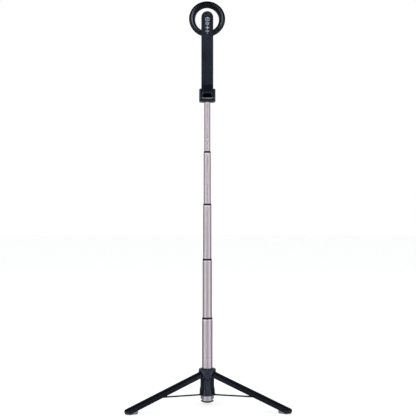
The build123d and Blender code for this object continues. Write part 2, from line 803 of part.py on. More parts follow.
arm_blank = arm_block(-14.0, ARM_SEAM, AXLE_Z - EAR_RADIUS, 0)
shallow_hollow = arm_block(1.0, ARM_SEAM, HOLLOW_BOTTOM, ARM_WALL)
front_posts = front_rods(ARM_FRONT + 1, ARM_SEAM, POST_RADIUS, ARM_SCREW_HEIGHTS)
front_screw_holes = front_rods(-3.0, ARM_SEAM, ARM_SCREW_RADIUS, ARM_SCREW_HEIGHTS)
bezel = pill(ARM_FRONT - 0.35, -1.0, REMOTE_LENGTH + 2.2, REMOTE_WIDTH + 2.2)
dock = pill(-12.0, REMOTE_BACK + GAP, REMOTE_LENGTH + 0.5, REMOTE_WIDTH + 0.5)

with BuildPart() as arm_front:
    add(arm_blank)
    # The side view: straight above, with a knee that swells forward to the axle.
    with BuildSketch(side()):
        with BuildLine():
            Polyline(
                (AXLE_BACK + EAR_RADIUS, AXLE_Z),
                (AXLE_BACK + EAR_RADIUS, ARM_FOOT),
                (ARM_SEAM, ARM_FOOT),
                (ARM_SEAM, ARM_TOP + 1),
                (ARM_FRONT, ARM_TOP + 1),
                (ARM_FRONT, 524.0),
                (-12.2, 511.0),
                (AXLE_BACK - EAR_RADIUS, 507.0),
                (AXLE_BACK - EAR_RADIUS, AXLE_Z),
            )
            ThreePointArc(
                (AXLE_BACK - EAR_RADIUS, AXLE_Z),
                (AXLE_BACK, AXLE_Z - EAR_RADIUS),
                (AXLE_BACK + EAR_RADIUS, AXLE_Z),
            )
        make_face()
    extrude(amount=ARM_HALF_WIDTH + 1, both=True, mode=Mode.INTERSECT)
    outer_edges = arm_front.edges().filter_by(
        lambda edge: edge.center().Y < POLE_Y + ARM_FRONT + 0.01
        and edge.center().Z > WINDOW_TOP - 2
        and (abs(abs(edge.center().X) - ARM_HALF_WIDTH) < 0.01 or edge.center().Z > ARM_TOP_CENTRE)
    )
    fillet(outer_edges, 2.0)
    # Hollow from the back, deep in the grip and shallow behind the remote.
    with BuildSketch(facing(ARM_SEAM)):
        with Locations((0, (HOLLOW_BOTTOM + DOCK_BOTTOM) / 2)):
            Rectangle(2 * (ARM_HALF_WIDTH - ARM_WALL), DOCK_BOTTOM - HOLLOW_BOTTOM)
    extrude(amount=ARM_SEAM - ARM_FRONT - ARM_WALL, mode=Mode.SUBTRACT)
    add(shallow_hollow, mode=Mode.SUBTRACT)
    add(front_posts)
    add(front_screw_holes, mode=Mode.SUBTRACT)
    # The raised bezel and the dock of the remote.
    add(bezel)
    add(dock, mode=Mode.SUBTRACT)
    # The window above the axle, and the space between the two ears.
    with BuildSketch(facing(WINDOW_BACK)):
        with Locations((0, (YOKE_FLOOR - 1 + WINDOW_TOP) / 2)):
            Rectangle(2 * WINDOW_HALF_WIDTH, WINDOW_TOP - YOKE_FLOOR + 1)
        with Locations((0, YOKE_FLOOR - 4)):
            Rectangle(2 * EAR_INNER, 8)
    extrude(amount=10, mode=Mode.SUBTRACT)
    with BuildSketch(side()):
        with Locations((AXLE_BACK, AXLE_Z)):
            Circle(AXLE_RADIUS + RUNNING)
    extrude(amount=ARM_HALF_WIDTH + 1, both=True, mode=Mode.SUBTRACT)
save(arm_front, "arm_front")

cover_blank = arm_block(ARM_SEAM, ARM_REAR, ARM_FOOT, 0)
cover_hollow = arm_block(ARM_SEAM, ARM_REAR - COVER_THICKNESS, HOLLOW_BOTTOM, ARM_WALL)
cover_posts = front_rods(ARM_SEAM, ARM_REAR - 1, POST_RADIUS, ARM_SCREW_HEIGHTS)
cover_screw_holes = front_rods(0, ARM_REAR + 1, ARM_SCREW_RADIUS, ARM_SCREW_HEIGHTS)
counterbores = front_rods(ARM_REAR - 1, ARM_REAR + 1, ARM_SCREW_RADIUS + 1, ARM_SCREW_HEIGHTS)

with BuildPart() as arm_back:
    add(cover_blank)
    fillet(arm_back.faces().sort_by(Axis.Y)[-1].edges(), 1.0)
    add(cover_hollow, mode=Mode.SUBTRACT)
    add(cover_posts)
    add(cover_screw_holes, mode=Mode.SUBTRACT)
    add(counterbores, mode=Mode.SUBTRACT)
    # The knuckle that the ring's pin turns in.
    with BuildSketch(side()):
        with Locations(((ARM_REAR - 1 + HINGE_BACK) / 2, HINGE_Z)):
            Rectangle(HINGE_BACK - ARM_REAR + 1, 2 * KNUCKLE_RADIUS)
        with Locations((HINGE_BACK, HINGE_Z)):
            Circle(KNUCKLE_RADIUS)
    extrude(amount=KNUCKLE_HALF_WIDTH, both=True)
    with BuildSketch(side()):
        with Locations((HINGE_BACK, HINGE_Z)):
            Circle(RING_HINGE_PIN_RADIUS + RUNNING)
    extrude(amount=KNUCKLE_HALF_WIDTH + 1, both=True, mode=Mode.SUBTRACT)
save(arm_back, "arm_back")

screw_rods = front_rods(-2.6, ARM_REAR - 0.9, ARM_SCREW_RADIUS, ARM_SCREW_HEIGHTS)
pan_heads = front_rods(ARM_REAR - 1, ARM_REAR - 0.2, ARM_SCREW_RADIUS + 0.9, ARM_SCREW_HEIGHTS)
with BuildPart() as arm_screws:
    add(screw_rods)
    add(pan_heads)
save(arm_screws, "arm_screws")

magnet_disc = front_rods(1.0, 3.0, 3.0, (REMOTE_Z,))
with BuildPart() as dock_magnet:
    add(magnet_disc)
save(dock_magnet, "dock_magnet")


# ---- remote control --------------------------------------------------------------------------------------------

TRAY_WALL = 0.95
TRAY_FLOOR = REMOTE_BACK - 0.9
BATTERY_FRONT = TRAY_FLOOR - 1.6
BOARD_FRONT = BATTERY_FRONT - 0.8
SWITCH_FRONT = BOARD_FRONT - 0.6

tray_blank = pill(REMOTE_SEAM, REMOTE_BACK, REMOTE_LENGTH, REMOTE_WIDTH)
tray_hollow = pill(
    REMOTE_SEAM, TRAY_FLOOR, REMOTE_LENGTH - 2 * TRAY_WALL, REMOTE_WIDTH - 2 * TRAY_WALL
)
with BuildPart() as remote_back:
    add(tray_blank)
    fillet(remote_back.faces().sort_by(Axis.Y)[-1].edges(), 0.5)
    add(tray_hollow, mode=Mode.SUBTRACT)
save(remote_back, "remote_back")

face_blank = pill(REMOTE_FRONT, REMOTE_SEAM, REMOTE_LENGTH, REMOTE_WIDTH)
key_opening = pill(REMOTE_FRONT - 1, REMOTE_SEAM, BUTTON_LENGTH + 0.4, BUTTON_WIDTH + 0.4)
with BuildPart() as remote_front:
    add(face_blank)
    fillet(remote_front.faces().sort_by(Axis.Y)[0].edges(), 0.4)
    add(key_opening, mode=Mode.SUBTRACT)
save(remote_front, "remote_front")

# The key fills most of the remote's face. Its flange stays behind the cover.
key_cap = pill(REMOTE_FRONT - 0.35, REMOTE_SEAM + 0.1, BUTTON_LENGTH, BUTTON_WIDTH)
key_flange = pill(REMOTE_SEAM + 0.1, REMOTE_SEAM + 0.4, BUTTON_LENGTH + 1.4, BUTTON_WIDTH + 1.4)
key_stem = front_rods(REMOTE_SEAM + 0.4, SWITCH_FRONT - 0.45, 1.2, (REMOTE_Z,))
with BuildPart() as shutter_button:
    add(key_cap)
    fillet(shutter_button.faces().sort_by(Axis.Y)[0].edges(), 0.35)
    add(key_flange)
    add(key_stem)
save(shutter_button, "shutter_button")

cell_disc = front_rods(BATTERY_FRONT, TRAY_FLOOR, 5.0, (REMOTE_Z - 8,))
with BuildPart() as coin_cell:
    add(cell_disc)
save(coin_cell, "coin_cell")

board_plate = pill(BOARD_FRONT, BATTERY_FRONT, REMOTE_LENGTH - 2.2, REMOTE_WIDTH - 2.2)
with BuildPart() as remote_board:
    add(board_plate)
save(remote_board, "remote_board")

switch_disc = front_rods(SWITCH_FRONT, BOARD_FRONT, 2.0, (REMOTE_Z,))
with BuildPart() as dome_switch:
    add(switch_disc)
save(dome_switch, "dome_switch")


# ---- magnetic ring -------------------------------------------------------------------------------------------------

LEAN = radians(RING_LEAN)
ring_up = Vector(0, sin(LEAN), cos(LEAN))
ring_normal = Vector(0, cos(LEAN), -sin(LEAN))
ring_centre = (
    Vector(0, POLE_Y + HINGE_BACK, HINGE_Z) + ring_up * HINGE_DROP - ring_normal * HINGE_DEPTH
)
ring_section = Plane(origin=ring_centre, x_dir=(1, 0, 0), z_dir=ring_up)
ring_axis = Axis(ring_centre, ring_normal)

MAGNET_INNER = 22.4
MAGNET_OUTER = 27.4
POCKET_INNER = 21.8
POCKET_OUTER = 28.0
PAD_FRONT = 7.3
MAGNET_FRONT = 5.3
PLATE_FRONT = 4.7
HINGE_BLOCK_WIDTH = 18.0


def ring_face(depth):
    """A plane across the ring at a depth behind its crest: x is right and y is down."""
    return Plane(origin=ring_centre + ring_normal * depth, x_dir=(1, 0, 0), z_dir=ring_normal)


def flat_ring(front, back, inner, outer, hinge_block=False):
    """A flat ring between two depths, left open at the bottom around the hinge if asked."""
    with BuildPart() as piece:
        with BuildSketch(ring_face(front)):
            Circle(outer)
            Circle(inner, mode=Mode.SUBTRACT)
            if hinge_block:
                with Locations((0, HINGE_DROP)):
                    Rectangle(HINGE_BLOCK_WIDTH, 16, mode=Mode.SUBTRACT)
        extrude(amount=back - front)
    return piece


ring_pocket = flat_ring(PLATE_FRONT, RING_DEPTH, POCKET_INNER, POCKET_OUTER, hinge_block=True)
pad_recess = flat_ring(PAD_FRONT, RING_DEPTH, POCKET_INNER, POCKET_OUTER)

with BuildPart() as ring_housing:
    with BuildSketch(ring_section):
        with BuildLine():
            Polyline(
                (21.3, 2.1),
                (RING_HOLE, 7.4),
                (RING_HOLE + 0.5, RING_DEPTH),
                (28.6, RING_DEPTH),
                (29.1, 7.4),
                (RING_RADIUS, 2.6),
            )
            ThreePointArc((RING_RADIUS, 2.6), (28.3, 0.8), (24.6, 0))
            ThreePointArc((24.6, 0), (22.5, 0.6), (21.3, 2.1))
        make_face()
    revolve(axis=ring_axis)
    add(ring_pocket.part, mode=Mode.SUBTRACT)
    add(pad_recess.part, mode=Mode.SUBTRACT)
    # The notch for the arm's knuckle, open to the front and below, and the holes for the pin.
    with BuildSketch(ring_face(-1)):
        with Locations((0, HINGE_DROP - KNUCKLE_RADIUS - 0.4 + 5)):
            Rectangle(2 * (KNUCKLE_HALF_WIDTH + GAP), 10)
    extrude(amount=1 + HINGE_DEPTH + KNUCKLE_RADIUS + 0.4, mode=Mode.SUBTRACT)
    with BuildSketch(side()):
        with Locations((HINGE_BACK, HINGE_Z)):
            Circle(RING_HINGE_PIN_RADIUS)
    extrude(amount=RING_HINGE_PIN_HALF_LENGTH, both=True, mode=Mode.SUBTRACT)
save(ring_housing, "ring_housing")

save(flat_ring(PLATE_FRONT, MAGNET_FRONT, POCKET_INNER, POCKET_OUTER, hinge_block=True), "ring_plate")

with BuildPart() as ring_magnets:
    with BuildSketch(ring_face(MAGNET_FRONT)):
        Circle(MAGNET_OUTER)
        Circle(MAGNET_INNER, mode=Mode.SUBTRACT)
        with Locations((0, HINGE_DROP)):
            Rectangle(HINGE_BLOCK_WIDTH + 0.4, 16, mode=Mode.SUBTRACT)
        with PolarLocations((MAGNET_INNER + MAGNET_OUTER) / 2, MAGNET_COUNT, start_angle=10):
            Rectangle(10, 0.5, mode=Mode.SUBTRACT)
    extrude(amount=PAD_FRONT - MAGNET_FRONT)
save(ring_magnets, "ring_magnets")

save(flat_ring(PAD_FRONT, RING_DEPTH, POCKET_INNER, POCKET_OUTER), "ring_pad")

with BuildPart() as ring_hinge_pin:
    with BuildSketch(side()):
        with Locations((HINGE_BACK, HINGE_Z)):
            Circle(RING_HINGE_PIN_RADIUS)
    extrude(amount=RING_HINGE_PIN_HALF_LENGTH, both=True)
save(ring_hinge_pin, "ring_hinge_pin")
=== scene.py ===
import json
import math

import bmesh
import bpy
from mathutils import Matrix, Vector


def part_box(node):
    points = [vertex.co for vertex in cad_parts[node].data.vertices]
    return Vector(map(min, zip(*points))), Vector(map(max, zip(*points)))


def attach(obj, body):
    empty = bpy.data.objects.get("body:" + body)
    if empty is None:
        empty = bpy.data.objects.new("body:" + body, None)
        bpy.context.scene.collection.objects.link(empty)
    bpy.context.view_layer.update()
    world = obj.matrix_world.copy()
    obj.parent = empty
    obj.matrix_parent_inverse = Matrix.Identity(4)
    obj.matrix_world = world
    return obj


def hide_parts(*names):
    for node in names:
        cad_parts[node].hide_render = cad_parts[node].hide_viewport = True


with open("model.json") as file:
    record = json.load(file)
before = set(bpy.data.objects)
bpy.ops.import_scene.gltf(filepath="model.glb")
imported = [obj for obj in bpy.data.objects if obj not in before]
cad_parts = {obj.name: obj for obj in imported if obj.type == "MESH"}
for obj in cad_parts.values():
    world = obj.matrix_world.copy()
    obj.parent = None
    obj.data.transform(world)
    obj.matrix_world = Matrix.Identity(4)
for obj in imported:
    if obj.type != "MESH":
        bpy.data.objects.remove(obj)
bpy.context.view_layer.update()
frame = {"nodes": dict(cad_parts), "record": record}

NODES = frame["nodes"]
MM = 0.001


# ---- where things are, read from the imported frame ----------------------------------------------

def corners(node):
    """The lowest and the highest corner of a CAD node's box."""
    return tuple(Vector(corner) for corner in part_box(node))


def middle(node):
    """The middle of a CAD node's box."""
    low, high = corners(node)
    return (low + high) / 2


# The pole's axis passes through the middle of the lowest tube.
POLE_X, POLE_Y = middle("tube_5").xy


# ---- shader nodes ------------------------------------------------------------------------------

def is_socket(value):
    return isinstance(value, bpy.types.NodeSocket)


def add_node(tree, kind, inputs=None, **settings):
    """A node with its settings made, and its inputs linked to sockets or set to values."""
    made = tree.nodes.new("ShaderNode" + kind)
    for key, value in settings.items():
        setattr(made, key, value)
    for key, value in (inputs or {}).items():
        if is_socket(value):
            tree.links.new(value, made.inputs[key])
        else:
            made.inputs[key].default_value = value
    return made


def add_maths(tree, operation, first, second=0.0):
    return add_node(tree, "Math", {0: first, 1: second}, operation=operation).outputs[0]


def add_ramp(tree, value, low, high, to_low=0.0, to_high=1.0):
    """A value taken from one range to another and held at its ends."""
    limits = {"From Min": low, "From Max": high, "To Min": to_low, "To Max": to_high}
    return add_node(tree, "MapRange", {"Value": value, **limits}).outputs[0]


class Shader:
    """One procedural material on a Principled surface, with helpers for its nodes."""

    MIX_FACTOR, MIX_FIRST, MIX_SECOND, MIX_RESULT = 0, 6, 7, 2  # the sockets of a colour Mix node

    def __init__(self, name):
        self.material = bpy.data.materials.new(name)
        self.material.use_nodes = True
        self.tree = self.material.node_tree
        self.tree.nodes.clear()
        self.output = self.node("OutputMaterial")
        self.principled = self.node("BsdfPrincipled")
        self.tree.links.new(self.principled.outputs[0], self.output.inputs[0])
        coordinates = self.node("TexCoord").outputs
        self.place, self.generated = coordinates["Object"], coordinates["Generated"]

    def node(self, kind, inputs=None, **settings):
        return add_node(self.tree, kind, inputs, **settings)

    def maths(self, operation, first, second):
        return add_maths(self.tree, operation, first, second)

    def ramp(self, value, low, high, to_low=0.0, to_high=1.0):
        return add_ramp(self.tree, value, low, high, to_low, to_high)

    def noise(self, scale, detail=3.0, stretch=None, roughness=0.55):
        """Noise in cells per metre, stretched along the axes with a small scale."""
        vector = self.place
        if stretch:
            vector = self.node("Mapping", {"Vector": vector, "Scale": stretch}).outputs[0]
        inputs = {"Vector": vector, "Scale": scale, "Detail": detail, "Roughness": roughness}
        return self.node("TexNoise", inputs).outputs["Fac"]

    def mix(self, factor, first, second, **settings):
        inputs = {self.MIX_FACTOR: factor, self.MIX_FIRST: first, self.MIX_SECOND: second}
        mixed = self.node("Mix", inputs, data_type="RGBA", **settings)
        return mixed.outputs[self.MIX_RESULT]

    def blend(self, factor, first, second):
        """One colour that turns into another; each is a socket or three numbers."""
        first, second = (
            colour if is_socket(colour) else (*colour, 1.0) for colour in (first, second)
        )
        return self.mix(factor, first, second)

    def shaded(self, colour, factor):
        """A colour multiplied by a factor."""
        return self.mix(1.0, colour, factor, blend_type="MULTIPLY")

    def rounded(self, radius):
        """The normal as if sharp edges were rounded."""
        return self.node("Bevel", {"Radius": radius}, samples=6).outputs[0]

    def edges(self, radius):
        """1 on sharp edges and 0 on flat ground, from how the rounded normal leans."""
        normal = self.node("NewGeometry").outputs["Normal"]
        inputs = {0: self.rounded(radius), 1: normal}
        facing = self.node("VectorMath", inputs, operation="DOT_PRODUCT").outputs["Value"]
        return self.ramp(facing, 0.985, 0.80)

    def crevice_shade(self, reach, least=0.25):
        """Painted shade from ambient occlusion: 1 on open ground and towards least deep in gaps and
        corners, within reach, to darken a colour by.
        """
        open_sky = self.node("AmbientOcclusion", {"Distance": reach}, samples=8).outputs["AO"]
        return self.ramp(open_sky, 0.15, 0.75, least, 1.0)

    def bump(self, height, depth, under=None):
        inputs = {"Height": height, "Distance": depth, "Strength": 1.0}
        if under:
            inputs["Normal"] = under
        return self.node("Bump", inputs).outputs[0]

    def set(self, **values):
        """Set or link the Principled node's inputs, with _ for each space in their names."""
        for key, value in values.items():
            socket = self.principled.inputs[key.replace("_", " ")]
            if is_socket(value):
                self.tree.links.new(value, socket)
            elif socket.type == "RGBA":
                socket.default_value = (*value, 1.0)
            else:
                socket.default_value = value


def scaled(colour, factor):
    return tuple(min(1.0, part * factor) for part in colour)


# ---- materials ---------------------------------------------------------------------------------

COOL = (0.70, 0.80, 1.0)  # the blue cast of the black plastics' sheen
# The reach of the lighter edges, which are partly wear and partly a painted highlight.
WORN_AND_HIGHLIT_EDGE = 0.4 * MM
# How far the painted shade in gaps and corners reaches, on plastics and on metals.
PLASTIC_SHADE_REACH = 4 * MM
METAL_SHADE_REACH = 3 * MM
ROUND = (1.0, 1.0, 1.0)  # no stretch of the lines, on turned and plated parts


def moulded(
    name, colour, roughness, grain=2600.0, depth=0.02 * MM, edge_wear_and_highlight=0.35, specular=0.5,
    rounding=0.3 * MM,
):
    """Moulded plastic: spark-eroded grain, faint mottling, dull patches, lighter edges that are
    partly wear and partly painted highlight, and painted shade in gaps and corners.
    """
    shader = Shader(name)
    mottle = shader.ramp(shader.noise(70.0, 4.0), 0.3, 0.7)
    body = shader.blend(mottle, scaled(colour, 0.86), scaled(colour, 1.16))

    pits = shader.noise(grain, 2.0)
    body = shader.blend(shader.ramp(pits, 0.56, 0.7, 0.0, 0.35), body, scaled(colour, 1.5))

    # Lighter sharp edges: partly worn, and partly a painted highlight along them.
    rub = shader.ramp(shader.noise(160.0), 0.3, 0.7, 0.4, 1.0)
    worn_and_highlit = shader.maths("MULTIPLY", shader.edges(WORN_AND_HIGHLIT_EDGE), rub)
    body = shader.blend(shader.maths("MULTIPLY", worn_and_highlit, edge_wear_and_highlight), body, scaled(colour, 3.2))

    patches = shader.ramp(shader.noise(26.0, 3.0), 0.35, 0.7)
    dullness = shader.maths(
        "ADD", shader.maths("MULTIPLY", patches, 0.7), shader.maths("MULTIPLY", pits, 0.6),
    )
    shader.set(
        # Painted shade: the base colour is darkened in gaps and corners.
        Base_Color=shader.shaded(body, shader.crevice_shade(PLASTIC_SHADE_REACH)),
        Roughness=shader.ramp(dullness, 0.2, 1.1, roughness - 0.07, roughness + 0.08),
        Normal=shader.bump(pits, depth, under=shader.rounded(rounding)),
        Specular_IOR_Level=specular,
        Specular_Tint=COOL,
    )
    return shader.material


def steel(name, colour, roughness, stretch=ROUND, grain=1800.0, rim=None):
    """Metal with drawn or turned lines, slight staining, a soft sheen and painted shade in gaps and
    corners.

    A tube's rim is the share of its length at the mouth that is lighter in colour.
    """
    shader = Shader(name)
    lines = shader.noise(grain, 4.0, stretch, 0.7)
    base = shader.blend(
        shader.ramp(lines, 0.3, 0.72), scaled(colour, 0.84), scaled(colour, 1.08),
    )
    stain = shader.ramp(shader.noise(34.0, 5.0), 0.38, 0.72)
    base = shader.blend(shader.maths("MULTIPLY", stain, 0.3), base, scaled(colour, 0.8))
    if rim:
        height = shader.node("SeparateXYZ", {0: shader.generated}).outputs["Z"]
        lighter_rim = shader.ramp(height, 1.0 - rim, 1.0 - 0.8 * rim)
        base = shader.blend(lighter_rim, base, scaled(colour, 1.25))
    dullness = shader.maths("ADD", lines, shader.maths("MULTIPLY", stain, 0.4))
    shader.set(
        # Painted shade: the base colour is darkened in gaps and corners.
        Base_Color=shader.shaded(base, shader.crevice_shade(METAL_SHADE_REACH, least=0.45)),
        Metallic=1.0,
        Roughness=shader.ramp(dullness, 0.4, 1.1, roughness - 0.08, roughness + 0.08),
        Normal=shader.bump(lines, 0.006 * MM),
        Anisotropic=0.35,
    )
    return shader.material


def rubber(
    name, colour, roughness, grain=1500.0, depth=0.04 * MM, sheen=0.15, specular=0.35,
):
    """Soft moulded rubber, ink, or the black sheet of painted shade in the arm's window: fine
    pores, dusty high spots and a faint sheen.
    """
    shader = Shader(name)
    pores = shader.node("TexVoronoi", {"Vector": shader.place, "Scale": grain}, feature="F1")
    pores = pores.outputs["Distance"]
    base = shader.blend(
        shader.ramp(pores, 0.1, 0.8), scaled(colour, 0.82), scaled(colour, 1.12),
    )
    dust = shader.ramp(shader.noise(120.0, 5.0), 0.45, 0.75)
    base = shader.blend(shader.maths("MULTIPLY", dust, 0.3), base, scaled(colour, 1.5))
    shader.set(
        Base_Color=base,
        Roughness=shader.ramp(dust, 0.0, 1.0, roughness, roughness + 0.12),
        Normal=shader.bump(pores, depth),
        Sheen_Weight=sheen,
        Sheen_Roughness=0.5,
        Specular_IOR_Level=specular,
    )
    return shader.material


STAINLESS = steel(
    "stainless_tube", (0.83, 0.735, 0.775), 0.34, (1.0, 1.0, 0.012), grain=2600.0, rim=0.022,
)
SILVER = steel("satin_silver", (0.78, 0.74, 0.78), 0.24, (1.0, 1.0, 8.0), grain=500.0)
BLACK_STEEL = steel("blackened_rod", (0.022, 0.023, 0.03), 0.36, (0.3, 0.3, 1.0), grain=2200.0)
BLACK_SCREW = steel("blackened_screw", (0.035, 0.036, 0.042), 0.32)
PIN_STEEL = steel("turned_pin", (0.30, 0.295, 0.31), 0.30)
NICKEL = steel("nickel", (0.66, 0.64, 0.60), 0.22, grain=1500.0)

GUIDE = moulded("guide_plastic", (0.012, 0.012, 0.015), 0.5, specular=0.35)
HUB = moulded(
    "hub_plastic", (0.034, 0.039, 0.058), 0.18, edge_wear_and_highlight=0.6, specular=0.65, rounding=0.6 * MM,
)
YOKE = moulded(
    "yoke_plastic", (0.019, 0.023, 0.040), 0.23, edge_wear_and_highlight=0.5, specular=0.62, rounding=1.4 * MM,
)
ARM = moulded(
    "arm_plastic", (0.0075, 0.0092, 0.0185), 0.25, edge_wear_and_highlight=0.3, specular=0.47, rounding=2.6 * MM,
)
COVER = moulded("cover_plastic", (0.008, 0.009, 0.014), 0.40, edge_wear_and_highlight=0.4)
LEG = moulded(
    "leg_plastic", (0.0046, 0.0056, 0.0105), 0.25, edge_wear_and_highlight=0.4, specular=0.27, rounding=0.9 * MM,
)
RING = moulded(
    "ring_plastic", (0.0014, 0.0016, 0.0030), 0.11, depth=0.004 * MM, edge_wear_and_highlight=0.1, specular=0.42,
)
REMOTE = moulded(
    "remote_plastic", (0.020, 0.022, 0.030), 0.28, grain=3200.0, depth=0.01 * MM, edge_wear_and_highlight=0.4,
    specular=0.4,
)
BOARD = moulded("board_laminate", (0.02, 0.11, 0.05), 0.35, edge_wear_and_highlight=0.0)

KEY = rubber("key_rubber", (0.010, 0.0105, 0.016), 0.5)
INK = rubber("mark_ink", (0.60, 0.72, 0.92), 0.42, grain=4000.0, depth=0.004 * MM)
FOOT = rubber("foot_rubber", (0.42, 0.43, 0.48), 0.74)
SILICONE = rubber("pad_silicone", (0.014, 0.014, 0.016), 0.58)
# The black sheet in the arm's window: painted shade that keeps the window dark.
SHADE_SHEET_PAINT = rubber("shade_sheet_black", (0.0022, 0.0022, 0.003), 0.86, grain=5000.0, sheen=0.0, specular=0.06)

# What each of the record's material slots looks like, and the nodes that look otherwise.
PAINT = {
    "stainless": STAINLESS,
    "guide_plastic": GUIDE,
    "dark_plastic": HUB,
    "cover_plastic": COVER,
    "leg_plastic": LEG,
    "silver_trim": SILVER,
    "steel_pin": PIN_STEEL,
    "black_steel": BLACK_STEEL,
    "foot_rubber": FOOT,
    "pad_silicone": SILICONE,
    "ring_plastic": RING,
    "magnet_nickel": NICKEL,
    "remote_plastic": REMOTE,
    "key_rubber": KEY,
    "board_laminate": BOARD,
    "cell_steel": NICKEL,
}
OWN_PAINT = {"yoke": YOKE, "arm_front": ARM, "slider": YOKE, "end_cap": GUIDE}

for entry in frame["record"]["subparts"]:
    surfaces = NODES[entry["node"]].data.materials
    surfaces.clear()
    surfaces.append(OWN_PAINT.get(entry["node"], PAINT[entry["material_slot"]]))


# ---- meshes ------------------------------------------------------------------------------------

SHARP = math.radians(35)  # edges that turn by more than this stay sharp


def grown(name, mesh, material, body, finish, *nodes):
    """A mesh in the row frame, as a piece that rides on a body and may stand for CAD nodes."""
    piece = bpy.data.objects.new(name, mesh)
    bpy.context.collection.objects.link(piece)
    mesh.materials.append(material)
    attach(piece, body)
    if nodes:
        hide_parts(*nodes)
    return piece


def bands(shape, rings, back_to_first=False):
    """Rings of points with faces from each ring to the next, and from the last to the first."""
    made = [[shape.verts.new(point) for point in ring] for ring in rings]
    for ring, following in zip(made, made[1:] + made[:1] if back_to_first else made[1:]):
        for index in range(len(ring)):
            after = (index + 1) % len(ring)
            shape.faces.new((ring[index], ring[after], following[after], following[index]))
    return made


def finished(shape, name, smooth=True):
    """A closed bmesh as a mesh, with its normals outwards."""
    bmesh.ops.recalc_face_normals(shape, faces=shape.faces)
    mesh = bpy.data.meshes.new(name)
    shape.to_mesh(mesh)
    shape.free()
    if smooth:
        mesh.polygons.foreach_set("use_smooth", [True] * len(mesh.polygons))
        mesh.set_sharp_from_angle(angle=SHARP)
    return mesh


def loft(rings, name):
    """A closed mesh through rings of as many points each, with a fan at each end."""
    shape = bmesh.new()
    made = bands(shape, rings)
    for ring, turned in ((made[0], True), (made[-1], False)):
        count = len(ring)
        centre = shape.verts.new(sum((vert.co for vert in ring), Vector()) / count)
        for index in range(count):
            pair = (ring[index], ring[(index + 1) % count])
            shape.faces.new((centre, *(reversed(pair) if turned else pair)))
    return finished(shape, name)


def revolved(name, centre, axis, section, segments=144):
    """A closed section of (radius, depth along the axis) points, turned round an axis."""
    across = axis.orthogonal().normalized()
    upwards = axis.cross(across)
    angles = [math.tau * index / segments for index in range(segments)]
    outwards = [across * math.cos(angle) + upwards * math.sin(angle) for angle in angles]
    shape = bmesh.new()
    bands(
        shape,
        [[centre + axis * depth + out * radius for out in outwards] for radius, depth in section],
        back_to_first=True,
    )
    return finished(shape, name)


def joined(meshes, name):
    """Several meshes as one."""
    shape = bmesh.new()
    for mesh in meshes:
        shape.from_mesh(mesh)
        bpy.data.meshes.remove(mesh)
    mesh = bpy.data.meshes.new(name)
    shape.to_mesh(mesh)
    shape.free()
    return mesh


def grooves(first, pitch, count, top, floor, walls):
    """The section of a row of grooves, as (distance, depth) points.

    The walls are where a groove's floor starts, where it ends and where the groove ends, as
    shares of the pitch.
    """
    floor_start, floor_end, end = (share * pitch for share in walls)
    points = []
    for index in range(count):
        start = first + index * pitch
        points += [
            (start, top),
            (start + floor_start, floor),
            (start + floor_end, floor),
            (start + end, top),
        ]
    return points


# ---- screws with cross recesses ----------------------------------------------------------------

def cross_shape(angle, arm, half_width):
    """How far from the middle the outline of a cross is, in a direction."""
    along = max(abs(math.cos(angle)), abs(math.sin(angle)))
    across = min(abs(math.cos(angle)), abs(math.sin(angle)))
    return min(arm / along, half_width / max(across, 1e-6))


def screw_mesh(top, outwards, head, thickness, shank, length, segments=48):
    """A pan-head screw whose top is at a point, with a tapered cross recess."""
    outwards = outwards.normalized()
    right = outwards.orthogonal().normalized()
    upwards = outwards.cross(right)
    recess, arm_width = 0.58 * head, 0.16 * head

    def ring(depth, radius):
        points = []
        for index in range(segments):
            angle = math.tau * index / segments
            reach = radius(angle) if callable(radius) else radius
            side = right * math.cos(angle) + upwards * math.sin(angle)
            points.append(top - outwards * depth + side * reach)
        return points

    return loft([
        ring(length, shank * 0.8),
        ring(length - 0.2 * MM, shank),
        ring(thickness, shank),
        ring(thickness, head),
        ring(0.45 * thickness, head),
        ring(0.16 * thickness, 0.88 * head),
        ring(0.03 * thickness, 0.72 * head),
        ring(0.0, lambda angle: cross_shape(angle, recess, arm_width)),
        ring(0.55 * thickness, lambda angle: cross_shape(angle, 0.72 * recess, 0.8 * arm_width)),
    ], "screw")


HUB_RIBS = (30, 150, 270)  # the azimuths of the hub's ribs
HUB_HEAD_THICKNESS = 0.6 * MM
HUB_SHANK = 0.8 * MM
HUB_SCREW_LENGTH = 3.3 * MM
low, high = corners("hub_screws")
hub_head = (high.z - low.z) / 2
screws = []
for azimuth in HUB_RIBS:
    turn = math.radians(azimuth)
    out = Vector((math.cos(turn), math.sin(turn), 0))
    top = Vector((POLE_X, POLE_Y, (low.z + high.z) / 2)) + out * (POLE_Y - low.y)
    screws.append(
        screw_mesh(top, out, hub_head, HUB_HEAD_THICKNESS, HUB_SHANK, HUB_SCREW_LENGTH)
    )
grown(
    "hub_cross_screws", joined(screws, "hub_cross_screws"),
    BLACK_SCREW, "base", "steel_pin", "hub_screws",
)

ARM_HEAD_THICKNESS = 0.8 * MM
BACKWARDS = Vector((0, 1, 0))
low, high = corners("arm_screws")
arm_head = (high.x - low.x) / 2
screws = []
for height in (low.z + arm_head, high.z - arm_head):
    top = Vector(((low.x + high.x) / 2, high.y, height))
    screws.append(
        screw_mesh(top, BACKWARDS, arm_head, ARM_HEAD_THICKNESS, 0.5 * arm_head, high.y - low.y)
    )
grown(
    "arm_cross_screws", joined(screws, "arm_cross_screws"),
    PIN_STEEL, "arm", "steel_pin", "arm_screws",
)


# ---- the silicone pad on the ring's phone side, with ridges between two plain borders ----------

